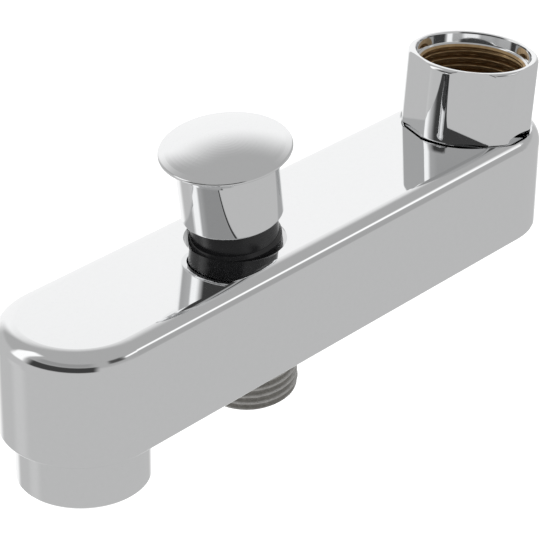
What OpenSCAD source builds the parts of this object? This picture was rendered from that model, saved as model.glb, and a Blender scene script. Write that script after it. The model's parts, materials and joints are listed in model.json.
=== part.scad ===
// Wall bath spout with a pull-up diverter: a straight cast body with round ends that hangs
// from a union nut, a diverter knob on top, a threaded hose outlet and an aerator below.
// Millimetres. +X runs along the spout towards the aerator and +Z is up along the inlet
// axis. The origin is the middle of the inlet washer's sealing face.

/* [Body] */
// Width of the body, which is also the diameter of its round ends
body_w = 35; // [34:0.5:40]
// Depth of the body from top face to bottom face
body_h = 25.8; // [25:0.2:32]
// Distance along the body from the inlet axis to the aerator axis
reach = 126.8; // [118:1:220]
// Fall of the body below square to the inlet axis, degrees
body_slope = 5; // [0:0.5:6]
// Radius that rounds the upper edge
top_round = 4.4; // [2:0.2:5]
// Radius that rounds the lower edge
bottom_round = 1; // [0.4:0.1:2]
// Thickness of the casting around the waterway
wall = 3; // [2.2:0.1:3.2]
// Depth of the level seat for the union nut below the body's top face on the inlet axis
seat_drop = 1.4; // [1:0.1:2]
// Width of the ring of the nut seat that shows around the nut
seat_margin = 0.4; // [0.3:0.1:0.8]
// Thickness of the metal between a bore and the chamber beside it
bridge = 3; // [2.4:0.1:3.4]
// Width of the ways between the chambers and the valve
way_w = 15; // [10:0.5:16]

/* [Inlet] */
// Outside diameter of the union nut over its turned corners
nut_d = 30.5; // [30:0.1:33]
// Width of the union nut across its flats
nut_flats = 28.7; // [28.5:0.1:30]
// Height of the union nut
nut_h = 18.2; // [16:0.2:24]
// Turn of the flats about the inlet axis, degrees
nut_turn = 37.5; // [0:0.5:60]
// Minor diameter of the union nut's thread
nut_thread_d = 24.1; // [23.8:0.1:24.6]
// Diameter of the relief below the thread, around the washer and the tail's flange
nut_relief_d = 25; // [24.8:0.1:25.6]
// Diameter of the plain entry above the thread
nut_entry_d = 26.9; // [26.5:0.1:27.2]
// Depth of the plain entry
nut_entry_h = 2.7; // [1:0.1:4]
// Height of the lip under which the tail's flange holds the nut
nut_lip = 3; // [2:0.1:4]
// Bevel around the top of the union nut
nut_chamfer = 0.9; // [0.6:0.1:1]
// Diameter of the flange on the inlet tail
tail_flange_d = 23.4; // [22.5:0.1:23.6]
// Height of the flange on the inlet tail
tail_flange_h = 3; // [2:0.1:4]
// Diameter of the neck that the nut turns on
tail_neck_d = 20.2; // [19.6:0.1:20.6]
// Diameter of the tail's thread in the body
tail_thread_d = 19; // [18.6:0.1:19.2]
// Length of the tail's thread in the body
tail_thread_l = 9; // [7:0.5:9.5]
// Diameter of the waterway through the tail
tail_bore_d = 14; // [11:0.5:14.5]
// Thickness of the inlet washer
washer_t = 2.2; // [1.5:0.1:3]

/* [Diverter] */
// Distance along the body from the inlet axis to the diverter axis, on the top face
diverter_x = 80.3; // [78:0.5:84]
// Forward lean of the diverter axis from square to the top face, degrees
diverter_lean = 8.2; // [0:0.2:10]
// Lift of the knob between its two seats
lift = 4.4; // [3:0.1:4.6]
// Gap under the front of the knob's skirt when the knob is down
skirt_gap = 0.5; // [0.3:0.1:1]
// Outside diameter of the knob's skirt
skirt_d = 22.1; // [22:0.1:24]
// Diameter of the knob's cap
cap_d = 28.7; // [27:0.1:34]
// Height from the foot of the skirt to the widest edge of the cap
cap_rise = 16; // [15.4:0.2:20]
// Height of the dome above the widest edge of the cap
dome_h = 2.4; // [1:0.1:4]
// Thickness of the cap's edge
cap_edge = 0.9; // [0.6:0.1:1.4]
// Diameter of the black sleeve inside the skirt
sleeve_d = 19.2; // [18.8:0.1:19.4]
// Diameter of the cartridge in the body's bore
cartridge_d = 20.3; // [20:0.1:20.6]
// Diameter of the open ring in the top face around the cartridge
ring_d = 22.2; // [21.6:0.1:23]
// Depth of the open ring around the cartridge
ring_depth = 1.6; // [1:0.1:1.8]
// Diameter of the gland bore in the cartridge
gland_d = 8.9; // [8.4:0.1:9.4]
// Diameter of the passage through the upper seat
seat_d = 12; // [11:0.2:13]
// Diameter of the valve disc and its two washers
valve_d = 14.8; // [14.6:0.1:15.4]
// Thickness of each rubber valve washer
valve_washer_t = 1.2; // [0.8:0.1:1.3]
// Thickness of the brass disc between the washers
valve_disc_t = 1.6; // [1.2:0.1:1.8]
// Diameter of the stem above its piston
stem_d = 7; // [6:0.1:7.4]
// Diameter of the stem's lower end, which carries the valve disc
stem_tail_d = 4; // [3.4:0.1:4.4]
// Diameter of the thread that holds the knob on the stem
knob_thread_d = 5; // [4:0.1:5.4]
// Height of the windows in the cartridge
window_h = 4.2; // [3.6:0.1:4.4]
// Width of the windows in the cartridge
window_w = 9; // [6:0.5:10]
// Thickness of the brass plate under the lower valve washer
plate_thick = 0.7; // [0.5:0.1:0.9]
// Thickness of the spring clip on the stem
clip_t = 0.6; // [0.4:0.1:0.7]

/* [Hose outlet] */
// Diameter of the hose thread over its crests
hose_d = 20.956; // [20.9:0.002:21]
// Length of the hose outlet below the body, on its own axis
hose_l = 14; // [12:0.5:18]
// Diameter of the waterway through the hose outlet
hose_bore_d = 13; // [11:0.5:13.4]
// Diameter of the hose outlet's thread in the body
nipple_thread_d = 19; // [18:0.1:19.4]
// Height of the collar that seats the hose outlet in the body
hose_collar = 1.5; // [1:0.1:1.8]
// Diameter of the relief between the collar and the hose thread
hose_relief_d = 18.8; // [18:0.1:19]
// Width across the flats of the key socket in the hose outlet
socket_af = 13.8; // [13.6:0.1:14.4]
// Depth of the key socket
socket_h = 5; // [4:0.5:8]

/* [Aerator] */
// Outside diameter of the aerator's shell
aerator_d = 28.4; // [27:0.1:31]
// Length of the aerator's shell below the body
aerator_l = 12; // [9:0.5:16]
// Diameter of the aerator's thread in the body
aerator_thread_d = 23.8; // [23:0.1:24]
// Length of the aerator's thread in the body
aerator_thread_l = 6; // [5:0.5:7]
// Inner diameter of the aerator's shell
aerator_bore_d = 21.4; // [20:0.1:21.6]
// Thickness of the cage inside the aerator's shell
cage_t = 1; // [0.8:0.1:1.3]
// Thickness of the lip at the foot of the aerator's shell
shell_lip = 1.2; // [1:0.1:1.6]
// Thickness of the lip at the foot of the cage
cage_lip = 0.8; // [0.6:0.1:1]
// Thickness of the perforated plates and screens
plate_t = 0.8; // [0.6:0.1:1.2]
// Thickness of the outlet grid
grid_t = 3; // [2:0.2:4]
// Pitch of the grid's openings
grid_pitch = 2.6; // [2.2:0.1:3.2]
// Width of the bars between the grid's openings
grid_bar = 0.6; // [0.4:0.1:0.9]
// Thickness of the aerator's sealing ring
gasket_t = 1.6; // [1.2:0.1:2]

/* [Clearances] */
// Radial gap left in every screwed joint
thread_gap = 0.05; // [0.03:0.01:0.08]
// Gap between parts that turn or slide past each other
free_gap = 0.3; // [0.25:0.05:0.4]
// Radial gap of the stem's piston in its gland
gland_gap = 0.05; // [0.03:0.01:0.08]
// Gap left at each seat when a valve washer meets it
seat_gap = 0.05; // [0.03:0.01:0.08]
// Thickness of the O-rings as fitted
ring_t = 1.3; // [1.1:0.1:1.4]

/* [Hidden] */
$fn = 96;

chrome = [0.80, 0.81, 0.83];
brass = [0.78, 0.62, 0.34];
black = [0.07, 0.07, 0.08];
rubber = [0.12, 0.12, 0.13];
plastic = [0.90, 0.90, 0.88];
steel = [0.72, 0.73, 0.74];

// Heights on the inlet axis, from the washer's sealing face
tail_top = -washer_t;
flange_foot = tail_top - tail_flange_h;
nut_foot = flange_foot - free_gap - nut_lip;
seat_z = nut_foot - free_gap;
face_z = seat_z + seat_drop;
nut_top = nut_foot + nut_h;
neck_foot = seat_z;
tail_end = neck_foot - tail_thread_l;
nut_r = nut_d / 2;
seat_r = nut_r + seat_margin;

// Body frame: x along the body, z square to its top face, from the inlet axis
half_w = body_w / 2;
cavity_r = half_w - wall;
cavity_top = -wall;
cavity_foot = -body_h + wall;

// Diverter frame: z along the diverter axis, from the top face
lean_drop = body_h / cos(diverter_lean);
skirt_r = skirt_d / 2;
skirt_down = (skirt_gap + skirt_r * sin(diverter_lean)) / cos(diverter_lean);
skirt_foot = skirt_down + lift;
cap_z = skirt_foot + cap_rise;
cartridge_r = cartridge_d / 2;
bore_r = cartridge_r + thread_gap;
collar_top = skirt_down - 2 * free_gap;
sleeve_r = sleeve_d / 2;
skirt_in_r = sleeve_r + free_gap;
knob_ceiling = cap_z - 5;
sleeve_top = skirt_foot + 5;
boss_foot = sleeve_top + 0.5;
gland_top = boss_foot - lift - 0.8;
land_t = 0.5;
groove_w = ring_t + 0.2;
gland_foot = -ring_depth - groove_w - 2 * land_t - 0.2;
upper_seat_top = gland_foot - window_h;
upper_seat_z = upper_seat_top - groove_w - 2 * land_t;
valve_stack = 2 * valve_washer_t + valve_disc_t;
valve_top = upper_seat_z - seat_gap;
valve_foot = valve_top - valve_stack;
nipple_top = valve_foot - lift - seat_gap;
nipple_foot = -lean_drop - hose_l;
valve_r = valve_d / 2;
stem_tail_r = stem_tail_d / 2;
gland_r = gland_d / 2;
piston_r = gland_r - gland_gap;
piston_top = gland_top - 0.2;
piston_foot = gland_foot + lift + 0.1;
o_r = ring_t / 2;
o_gap = 0.03;
land = (piston_top - piston_foot - 2 * groove_w) / 3;
stem_ring_lo = piston_foot + land + groove_w / 2;
stem_ring_hi = piston_top - land - groove_w / 2;
plate_r = seat_d / 2 - 1.8;
clip_z = valve_foot - plate_thick - clip_t;
stem_end = clip_z - 0.9;
nipple_r = nipple_thread_d / 2;
nipple_seat = -lean_drop + hose_d / 2 * sin(diverter_lean) + free_gap;
nipple_groove_r = nipple_r + thread_gap - ring_t - 0.02;
nipple_ring_z = nipple_top - land_t - groove_w / 2;
hose_thread_top = -lean_drop - hose_d / 2 * sin(diverter_lean) - 0.4;
cart_groove_r = bore_r - ring_t - 0.02;
cart_ring_hi = -ring_depth - land_t - groove_w / 2;
cart_ring_lo = upper_seat_z + land_t + groove_w / 2;
stem_groove_r = gland_r - ring_t - o_gap - 0.005;
tail_groove_r = tail_thread_d / 2 + thread_gap - ring_t - 0.02;

// Chambers of the casting, along the body
lean_run = body_h * tan(diverter_lean);
tail_boss_r = tail_thread_d / 2 + bridge;
rear_start = tail_boss_r + cavity_r;
rear_end = diverter_x - bore_r - bridge - lean_run - cavity_r;
front_start = diverter_x + bore_r + bridge + cavity_r;

// Aerator heights in the body frame
shell_foot = -body_h - aerator_l;
spigot_top = -body_h + aerator_thread_l;
gasket_top = spigot_top + gasket_t;
shell_in_r = aerator_bore_d / 2;
lip_r = shell_in_r - 1.1;
cage_r = shell_in_r - thread_gap;
cage_in_r = cage_r - cage_t;
cage_foot = shell_foot + shell_lip;
insert_r = cage_in_r - thread_gap;
grid_foot = cage_foot + cage_lip;
grid_top = grid_foot + grid_t;
cage_top = spigot_top;
diffuser_foot = cage_top - plate_t - 0.3;
screen_hi = diffuser_foot - 1.6 - plate_t;
screen_lo = grid_top;

// Places children in the body frame
module on_body() {
    translate([0, 0, face_z]) rotate([0, body_slope, 0]) children();
}

// Places children in the diverter frame
module on_diverter() {
    on_body() translate([diverter_x, 0, 0]) rotate([0, diverter_lean, 0]) children();
}

// Places children on the aerator axis, in the body frame
module on_aerator() {
    on_body() translate([reach, 0, 0]) children();
}

// A plain tube from z0 to z1
module tube(r_out, r_in, z0, z1) {
    translate([0, 0, z0]) difference() {
        cylinder(r = r_out, h = z1 - z0);
        translate([0, 0, -1]) cylinder(r = r_in, h = z1 - z0 + 2);
    }
}

// A round hole from z0 to z1
module hole(r, z0, z1) {
    translate([0, 0, z0]) cylinder(r = r, h = z1 - z0);
}

// An O-ring whose section has radius o_r, centred at radius rc and height z
module o_ring(rc, z) {
    color(rubber) translate([0, 0, z]) rotate_extrude() translate([rc, 0]) circle(r = o_r, $fn = 32);
}

// Half of the body's section at a round end: flat faces and rounded edges
module end_profile() {
    difference() {
        translate([0, -body_h]) square([half_w, body_h]);
        translate([half_w - top_round, -top_round]) difference() {
            square(top_round + 1);
            circle(r = top_round);
        }
        translate([half_w - bottom_round, -body_h + bottom_round]) mirror([0, 1]) difference() {
            square(bottom_round + 1);
            circle(r = bottom_round);
        }
    }
}

// The body's outside: two turned ends and the straight length between them
module body_outside() {
    rotate_extrude() end_profile();
    translate([reach, 0, 0]) rotate_extrude() end_profile();
    rotate([90, 0, 90]) linear_extrude(reach) {
        end_profile();
        mirror([1, 0]) end_profile();
    }
}

// A cored chamber with a round end at each of x0 and x1
module chamber(x0, x1, r, z0, z1) {
    for (x = [x0, x1]) translate([x, 0, z0]) cylinder(r = r, h = z1 - z0);
    translate([x0, -r, z0]) cube([x1 - x0, 2 * r, z1 - z0]);
}

// The cast body, bored for the tail, the cartridge, the hose outlet and the aerator
module spout_body() color(chrome) difference() {
    on_body() body_outside();
    hole(seat_r, seat_z, seat_z + body_h);
    hole(tail_thread_d / 2 + thread_gap, tail_end - 2, seat_z + 1);
    on_body() {
        chamber(0, rear_start, cavity_r, cavity_foot, tail_end - face_z - 1);
        chamber(rear_start, rear_end, cavity_r, cavity_foot, cavity_top);
        chamber(front_start, reach, cavity_r, gasket_top + 2, cavity_top);
        rear_way();
        front_way();
        translate([reach, 0, 0]) {
            hole(lip_r, gasket_top - 1, gasket_top + 3);
            hole(aerator_thread_d / 2 + thread_gap, -body_h - 1, gasket_top);
        }
    }
    on_diverter() {
        hole(bore_r, nipple_top - 0.6, top_round);
        hole(ring_d / 2, -ring_depth, top_round);
        hole(nipple_r + thread_gap, -lean_drop - 5, nipple_top);
        hole(hose_d / 2 + free_gap, -lean_drop - 5, nipple_seat);
    }
}

// Way from the rear chamber into the valve chamber, below the upper seat
module rear_way() {
    translate([rear_end, -way_w / 2, nipple_top + 2])
        cube([diverter_x - rear_end, way_w, upper_seat_z - nipple_top - 0.6]);
}

// Way from the windows above the upper seat to the aerator
module front_way() {
    translate([diverter_x, -way_w / 2, upper_seat_top - 1.1])
        cube([front_start - diverter_x, way_w, window_h - 0.4]);
}

// Union nut: a turned hexagon with a lip below, a thread and a plain entry
module union_nut() color(chrome) difference() {
    intersection() {
        rotate_extrude() polygon([
            [tail_neck_d / 2 + free_gap, nut_foot], [nut_r - 0.5, nut_foot],
            [nut_r, nut_foot + 0.5], [nut_r, nut_top - nut_chamfer],
            [nut_r - nut_chamfer, nut_top], [nut_entry_d / 2 + 0.4, nut_top],
            [nut_entry_d / 2, nut_top - 0.5], [nut_entry_d / 2, nut_top - nut_entry_h],
            [nut_thread_d / 2 + 0.5, nut_top - nut_entry_h],
            [nut_thread_d / 2, nut_top - nut_entry_h - 0.5],
            [nut_thread_d / 2, 0], [nut_relief_d / 2, -0.4],
            [nut_relief_d / 2, nut_foot + nut_lip],
            [tail_neck_d / 2 + free_gap, nut_foot + nut_lip]]);
        translate([0, 0, nut_foot - 1]) rotate([0, 0, nut_turn - 30])
            cylinder(r = nut_flats / sqrt(3), h = nut_h + 2, $fn = 6);
    }
}

// Inlet tail: the flange that holds the nut, the neck it turns on and the thread below
module inlet_tail() color(brass) rotate_extrude() polygon([
    [tail_bore_d / 2, tail_end], [tail_thread_d / 2 - 0.6, tail_end],
    [tail_thread_d / 2, tail_end + 0.6], [tail_thread_d / 2, neck_foot - groove_w - 0.4],
    [tail_groove_r, neck_foot - groove_w - 0.4], [tail_groove_r, neck_foot - 0.4],
    [tail_thread_d / 2, neck_foot - 0.4], [tail_thread_d / 2, neck_foot],
    [tail_neck_d / 2, neck_foot], [tail_neck_d / 2, flange_foot],
    [tail_flange_d / 2, flange_foot], [tail_flange_d / 2, tail_top],
    [tail_bore_d / 2, tail_top]]);

// Inlet washer: its upper face is the sealing face on the origin
module inlet_washer() color(rubber) tube(tail_flange_d / 2, tail_bore_d / 2, tail_top, 0);

module tail_o_ring() o_ring(tail_groove_r + o_r + 0.01, neck_foot - 0.4 - groove_w / 2);

// Knob: domed cap, skirt and the boss that screws onto the stem
module diverter_knob() color(chrome) on_diverter() {
    cap_r = cap_d / 2;
    rotate_extrude() polygon(concat(
        [[knob_thread_d / 2 + thread_gap, boss_foot],
            [stem_d / 2 + 2, boss_foot], [stem_d / 2 + 2, knob_ceiling],
            [skirt_in_r, knob_ceiling], [skirt_in_r, skirt_foot]],
        [for (a = [-90 : 15 : 0]) [skirt_r - 0.5 + 0.5 * cos(a), skirt_foot + 0.5 + 0.5 * sin(a)]],
        [for (a = [180 : -10 : 100])
            [cap_r - 0.5 + (cap_r - 0.5 - skirt_r) * cos(a), cap_z - 3.2 + 2.6 * sin(a)]],
        [for (a = [-80 : 20 : 80])
            [cap_r - 0.45 + 0.45 * cos(a), cap_z + cap_edge / 2 * sin(a)]],
        [for (i = [1 : 1 : 15]) let (r = (cap_r - 0.6) * (1 - i / 16))
            [r, cap_z + cap_edge / 2 + dome_h * (1 - pow(r / (cap_r - 0.6), 2))]],
        [[0, cap_z + cap_edge / 2 + dome_h], [0, knob_ceiling + 1.5],
            [knob_thread_d / 2 + thread_gap, knob_ceiling + 1.5]]));
}

// Cartridge: black sleeve above, gland for the stem, windows and the upper seat below
module diverter_cartridge() color(black) on_diverter() difference() {
    rotate_extrude() polygon([
        [seat_d / 2, upper_seat_z], [cartridge_r, upper_seat_z],
        [cartridge_r, collar_top - 0.8], [cartridge_r - 0.5, collar_top],
        [sleeve_r, collar_top], [sleeve_r, sleeve_top - 0.5], [sleeve_r - 0.5, sleeve_top],
        [stem_d / 2 + 2 + free_gap, sleeve_top], [stem_d / 2 + 2 + free_gap, gland_top],
        [gland_r, gland_top], [gland_r, gland_foot], [cartridge_r - 2, gland_foot],
        [cartridge_r - 2, upper_seat_top], [seat_d / 2, upper_seat_top]]);
    for (a = [0, 90]) rotate([0, 0, a])
        translate([-cartridge_r - 1, -window_w / 2, upper_seat_top])
            cube([2 * cartridge_r + 2, window_w, window_h]);
    for (z = [cart_ring_hi, cart_ring_lo]) rotate_extrude()
        translate([cart_groove_r, z - groove_w / 2]) square([3, groove_w]);
}

module cartridge_o_ring_upper() on_diverter() o_ring(cart_groove_r + o_r + 0.01, cart_ring_hi);

module cartridge_o_ring_lower() on_diverter() o_ring(cart_groove_r + o_r + 0.01, cart_ring_lo);

// Stem: thread for the knob, piston with two O-ring grooves, flange and lower end
module diverter_stem() color(brass) on_diverter() difference() {
    rotate_extrude() polygon([
        [0, stem_end], [stem_tail_r - 0.3, stem_end], [stem_tail_r, stem_end + 0.3],
        [stem_tail_r, clip_z], [stem_tail_r - 0.6, clip_z],
        [stem_tail_r - 0.6, clip_z + clip_t], [stem_tail_r, clip_z + clip_t],
        [stem_tail_r, valve_top], [plate_r, valve_top], [plate_r, valve_top + 1],
        [stem_d / 2, valve_top + 1], [stem_d / 2, piston_foot], [piston_r, piston_foot],
        [piston_r, piston_top], [stem_d / 2, piston_top], [stem_d / 2, boss_foot],
        [knob_thread_d / 2, boss_foot], [knob_thread_d / 2, knob_ceiling],
        [knob_thread_d / 2 - 0.5, knob_ceiling + 0.5], [0, knob_ceiling + 0.5]]);
    for (z = [stem_ring_lo, stem_ring_hi]) rotate_extrude()
        translate([stem_groove_r, z - groove_w / 2]) square([3, groove_w]);
}

module stem_o_ring_upper() on_diverter() o_ring(gland_r - o_r - o_gap, stem_ring_hi);

module stem_o_ring_lower() on_diverter() o_ring(gland_r - o_r - o_gap, stem_ring_lo);

module valve_washer_upper() color(rubber) on_diverter()
    tube(valve_r, stem_tail_r + thread_gap, valve_top - valve_washer_t, valve_top);

module valve_disc() color(brass) on_diverter() tube(valve_r, stem_tail_r + thread_gap,
    valve_foot + valve_washer_t, valve_top - valve_washer_t);

module valve_washer_lower() color(rubber) on_diverter()
    tube(valve_r, stem_tail_r + thread_gap, valve_foot, valve_foot + valve_washer_t);

module valve_plate() color(brass) on_diverter()
    tube(plate_r, stem_tail_r + thread_gap, valve_foot - plate_thick, valve_foot);

// Spring clip in the stem's groove, open on one side
module valve_clip() color(steel) on_diverter() difference() {
    tube(stem_tail_r + 1.2, stem_tail_r - 0.55, clip_z + 0.02, clip_z + clip_t);
    translate([0, -stem_tail_r * 0.6, clip_z - 1]) cube([10, stem_tail_r * 1.2, clip_t + 2]);
}

// Hose outlet: seat rim above, thread in the body, hose thread and a hexagon socket below
module hose_nipple() color(steel) on_diverter() difference() {
    rotate_extrude() polygon([
        [hose_bore_d / 2, nipple_foot], [hose_d / 2 - 1.2, nipple_foot],
        [hose_d / 2, nipple_foot + 1], [hose_d / 2, hose_thread_top],
        [hose_relief_d / 2, hose_thread_top + 0.5],
        [hose_relief_d / 2, nipple_seat - hose_collar], [hose_d / 2, nipple_seat - hose_collar],
        [hose_d / 2, nipple_seat], [nipple_r, nipple_seat], [nipple_r, nipple_ring_z - groove_w / 2],
        [nipple_groove_r, nipple_ring_z - groove_w / 2],
        [nipple_groove_r, nipple_ring_z + groove_w / 2],
        [nipple_r, nipple_ring_z + groove_w / 2], [nipple_r, nipple_top],
        [hose_bore_d / 2, nipple_top]]);
    translate([0, 0, nipple_foot - 1])
        cylinder(r = socket_af / sqrt(3), h = socket_h + 1, $fn = 6);
}

module nipple_o_ring() on_diverter() o_ring(nipple_groove_r + o_r + 0.01, nipple_ring_z);

module aerator_shell() color(chrome) on_aerator() rotate_extrude() polygon([
    [lip_r, shell_foot], [aerator_d / 2 - 0.6, shell_foot],
    [aerator_d / 2, shell_foot + 0.6], [aerator_d / 2, -body_h],
    [aerator_thread_d / 2, -body_h], [aerator_thread_d / 2, spigot_top],
    [shell_in_r, spigot_top], [shell_in_r, shell_foot + shell_lip],
    [lip_r, shell_foot + shell_lip]]);

module aerator_gasket() color(rubber) on_aerator()
    tube(aerator_thread_d / 2, lip_r, spigot_top, gasket_top);

// Cage: holds the plates, screens and grid
module aerator_cage() color(plastic) on_aerator() {
    tube(cage_r, cage_in_r, cage_foot, cage_top);
    tube(cage_r, cage_in_r - cage_lip, cage_foot, cage_foot + cage_lip);
}

// A round plate with a square pattern of openings
module pattern_plate(z0, t, pitch, bar, r) {
    n = floor(r / pitch);
    translate([0, 0, z0]) difference() {
        cylinder(r = r, h = t);
        for (i = [-n : n], j = [-n : n])
            if (norm([abs(i) + 0.5, abs(j) + 0.5]) * pitch < r - 0.3)
                translate([i * pitch - (pitch - bar) / 2, j * pitch - (pitch - bar) / 2, -1])
                    cube([pitch - bar, pitch - bar, t + 2]);
    }
}

module aerator_diffuser() color(plastic) on_aerator() {
    pattern_plate(diffuser_foot, plate_t, grid_pitch, grid_pitch / 2, insert_r);
    tube(insert_r, insert_r - 1, screen_hi + plate_t, diffuser_foot);
}

module aerator_screen_upper() color(steel) on_aerator()
    pattern_plate(screen_hi, plate_t, grid_pitch, grid_bar, insert_r);

module aerator_screen_lower() color(steel) on_aerator()
    pattern_plate(screen_lo, plate_t, grid_pitch, grid_bar, insert_r);

module aerator_spacer() color(plastic) on_aerator()
    tube(insert_r, insert_r - 1, screen_lo + plate_t, screen_hi);

module aerator_grid() color(plastic) on_aerator()
    pattern_plate(grid_foot, grid_t, grid_pitch, grid_bar, insert_r);

spout_body();
union_nut();
inlet_tail();
inlet_washer();
tail_o_ring();
diverter_knob();
diverter_cartridge();
cartridge_o_ring_upper();
cartridge_o_ring_lower();
diverter_stem();
stem_o_ring_upper();
stem_o_ring_lower();
valve_washer_upper();
valve_disc();
valve_washer_lower();
valve_plate();
valve_clip();
hose_nipple();
nipple_o_ring();
aerator_shell();
aerator_gasket();
aerator_cage();
aerator_diffuser();
aerator_screen_upper();
aerator_screen_lower();
aerator_spacer();
aerator_grid();
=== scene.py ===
"""Bath spout with a pull-up diverter: looks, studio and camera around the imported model."""
import json
import math

import bmesh
import bpy
from mathutils import Matrix, Vector


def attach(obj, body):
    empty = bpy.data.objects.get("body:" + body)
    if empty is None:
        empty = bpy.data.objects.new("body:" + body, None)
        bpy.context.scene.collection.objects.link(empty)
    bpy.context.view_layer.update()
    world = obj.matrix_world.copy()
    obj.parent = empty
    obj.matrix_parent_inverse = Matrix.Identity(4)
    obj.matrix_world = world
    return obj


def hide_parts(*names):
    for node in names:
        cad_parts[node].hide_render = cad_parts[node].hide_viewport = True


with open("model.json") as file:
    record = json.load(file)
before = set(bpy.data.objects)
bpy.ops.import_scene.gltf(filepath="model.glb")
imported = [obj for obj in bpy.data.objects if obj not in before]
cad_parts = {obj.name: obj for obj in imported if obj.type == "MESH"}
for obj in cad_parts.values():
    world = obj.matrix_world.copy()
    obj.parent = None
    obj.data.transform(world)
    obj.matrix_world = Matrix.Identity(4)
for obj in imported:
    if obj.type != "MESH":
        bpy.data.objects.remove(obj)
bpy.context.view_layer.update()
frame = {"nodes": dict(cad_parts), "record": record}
scene = bpy.context.scene
MM = 0.001


# Materials
class Graph:
    """A node tree with short helpers for building it."""

    def __init__(self, tree):
        self.tree = tree
        tree.nodes.clear()

    def node(self, kind, **settings):
        n = self.tree.nodes.new(kind)
        for key, value in settings.items():
            setattr(n, key, value)
        return n

    def put(self, socket, value):
        """Sets a socket to a number, a colour or another node's output."""
        if isinstance(value, bpy.types.NodeSocket):
            self.tree.links.new(value, socket)
        else:
            socket.default_value = value

    def math(self, operation, a, b=0.0, clamp=False):
        n = self.node("ShaderNodeMath", operation=operation, use_clamp=clamp)
        self.put(n.inputs[0], a)
        self.put(n.inputs[1], b)
        return n.outputs[0]

    def ramp(self, value, low, high, to_low=0.0, to_high=1.0):
        """Smooth step of a value from low to high."""
        n = self.node("ShaderNodeMapRange", interpolation_type="SMOOTHSTEP")
        self.put(n.inputs["Value"], value)
        for name, number in (("From Min", low), ("From Max", high),
                             ("To Min", to_low), ("To Max", to_high)):
            n.inputs[name].default_value = number
        return n.outputs["Result"]

    def mix(self, factor, a, b):
        """Mix of two numbers or colours."""
        n = self.node("ShaderNodeMix", data_type="RGBA")
        self.put(n.inputs["Factor"], factor)
        for name, value in (("A", a), ("B", b)):
            socket = [s for s in n.inputs if s.name == name and s.type == "RGBA"][0]
            if isinstance(value, (int, float)):
                value = (value, value, value, 1.0)
            self.put(socket, value)
        return [s for s in n.outputs if s.type == "RGBA"][0]


def new_material(name):
    mat = bpy.data.materials.new(name)
    mat.use_nodes = True
    g = Graph(mat.node_tree)
    out = g.node("ShaderNodeOutputMaterial")
    shader = g.node("ShaderNodeBsdfPrincipled")
    g.put(out.inputs["Surface"], shader.outputs[0])
    return mat, g, shader


def noise(g, scale, detail=4.0, roughness=0.55, stretch=None):
    """Noise in the row frame, in object space, stretched if asked."""
    where = g.node("ShaderNodeTexCoord").outputs["Object"]
    if stretch:
        mapping = g.node("ShaderNodeMapping")
        mapping.inputs["Scale"].default_value = stretch
        g.put(mapping.inputs["Vector"], where)
        where = mapping.outputs[0]
    n = g.node("ShaderNodeTexNoise")
    g.put(n.inputs["Vector"], where)
    n.inputs["Scale"].default_value = scale
    n.inputs["Detail"].default_value = detail
    n.inputs["Roughness"].default_value = roughness
    return n.outputs["Fac"]


def bump(g, shader, height, strength, distance):
    n = g.node("ShaderNodeBump")
    n.inputs["Strength"].default_value = strength
    n.inputs["Distance"].default_value = distance
    g.put(n.inputs["Height"], height)
    g.put(shader.inputs["Normal"], n.outputs[0])


def metal(name, light, dark, rough, rough_to, grain=900.0, wave=0.0):
    """Metal whose colour and roughness vary a little with fine noise."""
    mat, g, shader = new_material(name)
    fine = noise(g, grain)
    g.put(shader.inputs["Base Color"], g.mix(fine, light, dark))
    g.put(shader.inputs["Roughness"], g.ramp(fine, 0.3, 0.7, rough, rough_to))
    shader.inputs["Metallic"].default_value = 1.0
    if wave:
        bump(g, shader, noise(g, 45.0, 1.0), wave, 0.0004)
    return mat


def plastic(name, light, dark, rough, rough_to, grain, relief):
    """Moulded plastic or rubber with a fine grain."""
    mat, g, shader = new_material(name)
    fine = noise(g, grain, 6.0)
    g.put(shader.inputs["Base Color"], g.mix(fine, light, dark))
    g.put(shader.inputs["Roughness"], g.ramp(fine, 0.25, 0.75, rough, rough_to))
    bump(g, shader, fine, relief, 0.0001)
    return mat


CHROME = metal("chrome", (0.90, 0.905, 0.91, 1), (0.875, 0.88, 0.885, 1), 0.025, 0.045,
               wave=0.02)
PLATED = metal("plated_turned", (0.62, 0.61, 0.59, 1), (0.45, 0.44, 0.42, 1), 0.24, 0.42,
               grain=1400.0)
BRASS = metal("brass_raw", (0.62, 0.44, 0.24, 1), (0.40, 0.27, 0.14, 1), 0.28, 0.5,
              grain=700.0)
STEEL = metal("steel_mesh", (0.60, 0.61, 0.62, 1), (0.45, 0.46, 0.47, 1), 0.25, 0.4)
BLACK = plastic("black_plastic", (0.010, 0.010, 0.011, 1), (0.016, 0.016, 0.017, 1),
                0.16, 0.3, 900.0, 0.15)
WHITE = plastic("white_plastic", (0.80, 0.80, 0.77, 1), (0.74, 0.74, 0.71, 1), 0.4, 0.55,
                700.0, 0.2)
RUBBER = plastic("rubber", (0.020, 0.020, 0.021, 1), (0.035, 0.034, 0.033, 1), 0.6, 0.8,
                 1200.0, 0.3)

LOOKS = {"chrome": CHROME, "plated": PLATED, "brass": BRASS, "steel": STEEL,
         "black_plastic": BLACK, "white_plastic": WHITE, "rubber": RUBBER}
for part in frame["record"]["subparts"]:
    mesh = frame["nodes"][part["node"]].data
    mesh.materials.clear()
    mesh.materials.append(LOOKS[part["material_slot"]])


# Shapes
SLOPE = math.radians(5.0)
LEAN = math.radians(8.2)
FACE_Z = -7.4
DIVERTER_X = 80.3


def body_frame():
    """Matrix, in millimetres, of the body's own frame."""
    return Matrix.Translation((0, 0, FACE_Z)) @ Matrix.Rotation(SLOPE, 4, "Y")


def diverter_frame():
    """Matrix, in millimetres, of the knob, cartridge and hose outlet."""
    return (body_frame() @ Matrix.Translation((DIVERTER_X, 0, 0))
            @ Matrix.Rotation(LEAN, 4, "Y"))


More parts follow.
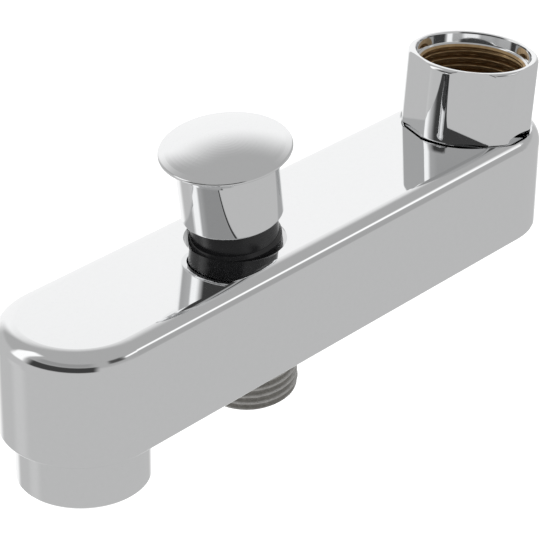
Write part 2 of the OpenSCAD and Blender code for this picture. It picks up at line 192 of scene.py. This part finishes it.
def turned(name, rings, materials, place=Matrix.Identity(4), sharp=30.0, close=False):
    """A turned piece: rings of points, each (list of (x, y, z), material index)."""
    bm = bmesh.new()
    loops = []
    for points, _ in rings:
        loops.append([bm.verts.new(MM * (place @ Vector(p))) for p in points])
    count = len(loops[0])
    pairs = list(zip(range(len(loops) - 1), range(1, len(loops))))
    if close:
        pairs.append((len(loops) - 1, 0))
    for i, j in pairs:
        for k in range(count):
            m = (k + 1) % count
            face = bm.faces.new((loops[i][k], loops[i][m], loops[j][m], loops[j][k]))
            face.material_index = rings[i][1]
            face.smooth = True
    bmesh.ops.recalc_face_normals(bm, faces=bm.faces)
    mesh = bpy.data.meshes.new(name)
    bm.to_mesh(mesh)
    bm.free()
    mesh.set_sharp_from_angle(angle=math.radians(sharp))
    for mat in materials:
        mesh.materials.append(mat)
    obj = bpy.data.objects.new(name, mesh)
    scene.collection.objects.link(obj)
    return obj


def ring(radius, z, angles):
    """Points of a circle, or of any outline if radius is a function of the angle."""
    at = radius if callable(radius) else (lambda a: radius)
    return [(at(a) * math.cos(a), at(a) * math.sin(a), z) for a in angles]


def thread_depth(turn, flat=0.16):
    """Depth, 0 at the crest to 1 at the root, over one turn of a rounded V thread."""
    t = abs((turn % 1.0) - 0.5) * 2.0
    t = min(1.0, max(0.0, (t - flat) / (1.0 - 2.0 * flat)))
    return t * t * (3 - 2 * t)


PITCH = 1.814
THREAD_DEEP = 1.10


def union_nut():
    """The union nut: turned hexagon outside, thread and plain entry inside."""
    flat_r, turn_r = 28.7 / 2, 30.5 / 2
    foot, top, lip = -8.5, 9.7, 3.0
    bore, relief, minor, entry = 10.4, 12.5, 12.05, 13.45
    turn = math.radians(37.5)
    half = math.acos(flat_r / turn_r)
    angles = []
    for side in range(6):
        mid = turn + side * math.pi / 3
        angles += [mid - half + 2 * half * i / 20 for i in range(21)]
        rest = math.pi / 3 - 2 * half
        angles += [mid + half + rest * i / 10 for i in range(1, 10)]

    def outside(turned_r):
        def radius(a):
            d = (a - turn + math.pi / 6) % (math.pi / 3) - math.pi / 6
            return min(turned_r, flat_r / math.cos(d))
        return radius

    def thread(z):
        lead = min(1.0, max(0.0, (6.4 - z) / 0.9)) * min(1.0, max(0.0, (z - 0.0) / 0.6))
        return lambda a: minor + THREAD_DEEP * lead * thread_depth(a / (2 * math.pi) + z / PITCH)

    rings = [(ring(bore, foot, angles), 0)]
    for t in range(5):
        a = math.pi / 2 * t / 4
        rings.append((ring(outside(turn_r - 0.5 + 0.5 * math.sin(a)),
                           foot + 0.5 - 0.5 * math.cos(a), angles), 0))
    for i in range(1, 9):
        rings.append((ring(outside(turn_r), foot + 0.5 + (top - 1.2 - foot - 0.5) * i / 8,
                           angles), 0))
    for i in range(11):
        a = math.pi / 2 * i / 10
        rings.append((ring(outside(turn_r - 0.9 + 0.9 * math.cos(a)),
                           top - 1.0 + 1.0 * math.sin(a), angles), 0))
    rings.append((ring(entry + 0.45, top, angles), 0))
    rings.append((ring(entry + 0.12, top - 0.14, angles), 0))
    rings.append((ring(entry, top - 0.5, angles), 0))
    rings.append((ring(entry, top - 2.5, angles), 0))
    rings.append((ring(entry - 0.1, top - 2.7, angles), 0))
    rings.append((ring(minor + 0.55, top - 2.7, angles), 0))
    rings.append((ring(minor + 0.5, top - 2.72, angles), 1))
    steps = 80
    for i in range(steps + 1):
        z = 6.5 * (1 - i / steps)
        rings.append((ring(thread(z), z, angles), 1))
    rings.append((ring(relief, -0.4, angles), 1))
    rings.append((ring(relief, foot + lip, angles), 1))
    rings.append((ring(bore, foot + lip, angles), 1))
    return turned("union_nut_dressed", rings, [CHROME, BRASS], close=True)


def hose_outlet():
    """The hose outlet with its thread, relief, seat and key socket."""
    place = diverter_frame()
    angles = [2 * math.pi * i / 180 for i in range(180)]
    crest, bore, socket = 10.478, 6.5, 13.8 / 2
    lean_drop = 25.8 / math.cos(LEAN)
    foot = -lean_drop - 14.0
    thread_top = -lean_drop - crest * math.sin(LEAN) - 0.4
    seat = -lean_drop + crest * math.sin(LEAN) + 0.3
    inner_top = -14.95 - 4.4 - 0.05

    def thread(z):
        lead = min(1.0, max(0.0, (thread_top + 0.2 - z) / 0.8))
        return lambda a: crest - THREAD_DEEP * lead * thread_depth(a / (2 * math.pi) + z / PITCH)

    def hexagon(a):
        d = (a + math.pi / 6) % (math.pi / 3) - math.pi / 6
        return socket / math.cos(d)

    rings = [(ring(bore, inner_top, angles), 0), (ring(bore, foot + 5.3, angles), 0),
             (ring(bore + 0.2, foot + 5.0, angles), 0), (ring(hexagon, foot + 5.0, angles), 0),
             (ring(hexagon, foot + 0.3, angles), 0),
             (ring(8.25, foot, angles), 0), (ring(crest - 1.35, foot, angles), 0),
             (ring(crest - 1.1, foot + 0.12, angles), 0)]
    steps = 125
    for i in range(steps + 1):
        z = foot + 0.3 + (thread_top - foot - 0.3) * i / steps
        end = crest - 1.1 + (z - foot - 0.12) * 1.2
        at = thread(z)
        rings.append((ring(lambda a, at=at, end=end: min(at(a), end), z, angles), 0))
    rings += [(ring(9.4, thread_top + 0.5, angles), 0), (ring(9.4, seat - 1.5, angles), 0),
              (ring(crest, seat - 1.5, angles), 0), (ring(crest, seat, angles), 0),
              (ring(9.5, seat, angles), 0), (ring(9.5, inner_top - 2.25, angles), 0),
              (ring(8.2, inner_top - 2.25, angles), 0), (ring(8.2, inner_top - 0.5, angles), 0),
              (ring(9.5, inner_top - 0.5, angles), 0), (ring(9.5, inner_top, angles), 0)]
    return turned("hose_outlet_threaded", rings, [PLATED], place=place, close=True)


nut = union_nut()
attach(nut, "nut")
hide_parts("union_nut")

outlet = hose_outlet()
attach(outlet, "spout")
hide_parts("hose_nipple")


# Studio
def studio_world():
    """Even white light, and pale and dark patches by direction that only reflections see."""
    world = bpy.data.worlds.new("studio")
    scene.world = world
    world.use_nodes = True
    g = Graph(world.node_tree)
    split = g.node("ShaderNodeSeparateXYZ")
    g.put(split.inputs[0], g.node("ShaderNodeTexCoord").outputs["Generated"])
    x, y, z = split.outputs
    elev = g.math("MULTIPLY", g.math("ARCSINE", z), 180 / math.pi)

    def window(value, low, high, soft):
        rise = g.ramp(value, low - soft, low + soft)
        fall = g.ramp(value, high - soft, high + soft, 1.0, 0.0)
        return g.math("MULTIPLY", rise, fall)

    def from_azimuth(middle):
        """Angle from the middle azimuth, -180 to 180 degrees."""
        m = math.radians(middle)
        along = g.math("ADD", g.math("MULTIPLY", x, math.cos(m)),
                       g.math("MULTIPLY", y, math.sin(m)))
        across = g.math("SUBTRACT", g.math("MULTIPLY", y, math.cos(m)),
                        g.math("MULTIPLY", x, math.sin(m)))
        return g.math("MULTIPLY", g.math("ARCTAN2", across, along), 180 / math.pi)

    def patch(level, value, az0, az1, el0, el1, az_soft, el_soft):
        """Lays a patch of brightness over what is there."""
        middle = (az0 + az1) / 2
        inside = g.math("MULTIPLY",
                        window(from_azimuth(middle), az0 - middle, az1 - middle, az_soft),
                        window(elev, el0, el1, el_soft))
        return g.mix(inside, level, value)

    level = g.mix(g.ramp(elev, 12.0, 24.0), 0.53, 0.43)
    level = patch(level, 0.40, 120, 145, 14, 31, 12, 3)
    level = patch(level, 0.05, -24, 66, 1, 27, 6, 3)
    level = patch(level, 0.32, -20, 60, 30, 46, 8, 3)
    level = patch(level, 0.08, 84, 108, 30, 46, 6, 4)
    level = patch(level, 1.15, 112, 152, 34.5, 40.5, 6, 1.5)
    level = patch(level, 1.0, 200, 262, -60, 46, 10, 16)
    level = patch(level, 1.10, 306, 328, 5, 55, 4, 4)
    level = patch(level, 0.60, 300, 322, -50, -20, 8, 4)

    bright = g.node("ShaderNodeBackground")
    g.put(bright.inputs["Color"], level)
    bright.inputs["Strength"].default_value = 1.0
    plain = g.node("ShaderNodeBackground")
    plain.inputs["Color"].default_value = (1, 1, 1, 1)
    plain.inputs["Strength"].default_value = 0.55
    white = g.node("ShaderNodeBackground")
    white.inputs["Color"].default_value = (1, 1, 1, 1)
    white.inputs["Strength"].default_value = 1.0
    path = g.node("ShaderNodeLightPath")
    shiny = g.math("MAXIMUM", path.outputs["Is Glossy Ray"],
                   path.outputs["Is Transmission Ray"])
    first = g.node("ShaderNodeMixShader")
    g.put(first.inputs[0], shiny)
    g.put(first.inputs[1], plain.outputs[0])
    g.put(first.inputs[2], bright.outputs[0])
    second = g.node("ShaderNodeMixShader")
    g.put(second.inputs[0], path.outputs["Is Camera Ray"])
    g.put(second.inputs[1], first.outputs[0])
    g.put(second.inputs[2], white.outputs[0])
    out = g.node("ShaderNodeOutputWorld")
    g.put(out.inputs["Surface"], second.outputs[0])


def floor():
    """A plain pale floor well below the spout."""
    mat, g, shader = new_material("floor_pale")
    shader.inputs["Base Color"].default_value = (0.9, 0.9, 0.9, 1)
    shader.inputs["Roughness"].default_value = 0.9
    shader.inputs["Specular IOR Level"].default_value = 0.0
    path = g.node("ShaderNodeLightPath")
    seen = g.math("MAXIMUM", path.outputs["Is Camera Ray"],
                  g.math("MAXIMUM", path.outputs["Is Glossy Ray"],
                         path.outputs["Is Transmission Ray"]))
    shader.inputs["Emission Color"].default_value = (1, 1, 1, 1)
    g.put(shader.inputs["Emission Strength"], g.math("MULTIPLY", seen, 0.35))
    bpy.ops.mesh.primitive_plane_add(size=6.0, location=(0.06, 0, -0.32))
    plane = bpy.context.object
    plane.name = "floor"
    plane.data.materials.append(mat)
    plane.visible_glossy = False


def lamp(name, place, target, size, power):
    data = bpy.data.lights.new(name, "AREA")
    data.shape = "DISK"
    data.size = size
    data.energy = power
    obj = bpy.data.objects.new(name, data)
    obj.location = place
    aim = Vector(target) - Vector(place)
    obj.rotation_euler = aim.to_track_quat("-Z", "Y").to_euler()
    obj.visible_glossy = False
    scene.collection.objects.link(obj)


studio_world()
floor()
TARGET = (0.06, 0.0, -0.02)
lamp("key", (-0.5, -0.6, 1.0), TARGET, 0.9, 9.0)
lamp("fill", (0.9, 0.5, 0.8), TARGET, 0.9, 6.0)


# Camera
def camera():
    azimuth, elevation, roll = 2.26869545, 0.43875887, 0.07654711
    shift_x, shift_y, distance = -46.1831, -34.43921, 585.64158
    inlet_above_nut_foot = 8.5
    back = Vector((math.sin(azimuth) * math.cos(elevation),
                   -math.cos(azimuth) * math.cos(elevation), math.sin(elevation)))
    right = Vector((math.cos(azimuth), math.sin(azimuth), 0))
    up = back.cross(right)
    side = math.cos(roll) * right + math.sin(roll) * up
    top = -math.sin(roll) * right + math.cos(roll) * up
    place = side * shift_x + top * shift_y + back * distance
    place.z -= inlet_above_nut_foot
    data = bpy.data.cameras.new("camera")
    data.sensor_width = 36.0
    data.lens = 2481.578 / 540 * 36
    data.clip_start, data.clip_end = 0.01, 20.0
    obj = bpy.data.objects.new("camera", data)
    rows = Matrix((side, top, back)).transposed().to_4x4()
    obj.matrix_world = Matrix.Translation(place * MM) @ rows
    scene.collection.objects.link(obj)
    scene.camera = obj


camera()
scene.view_settings.view_transform = "Standard"
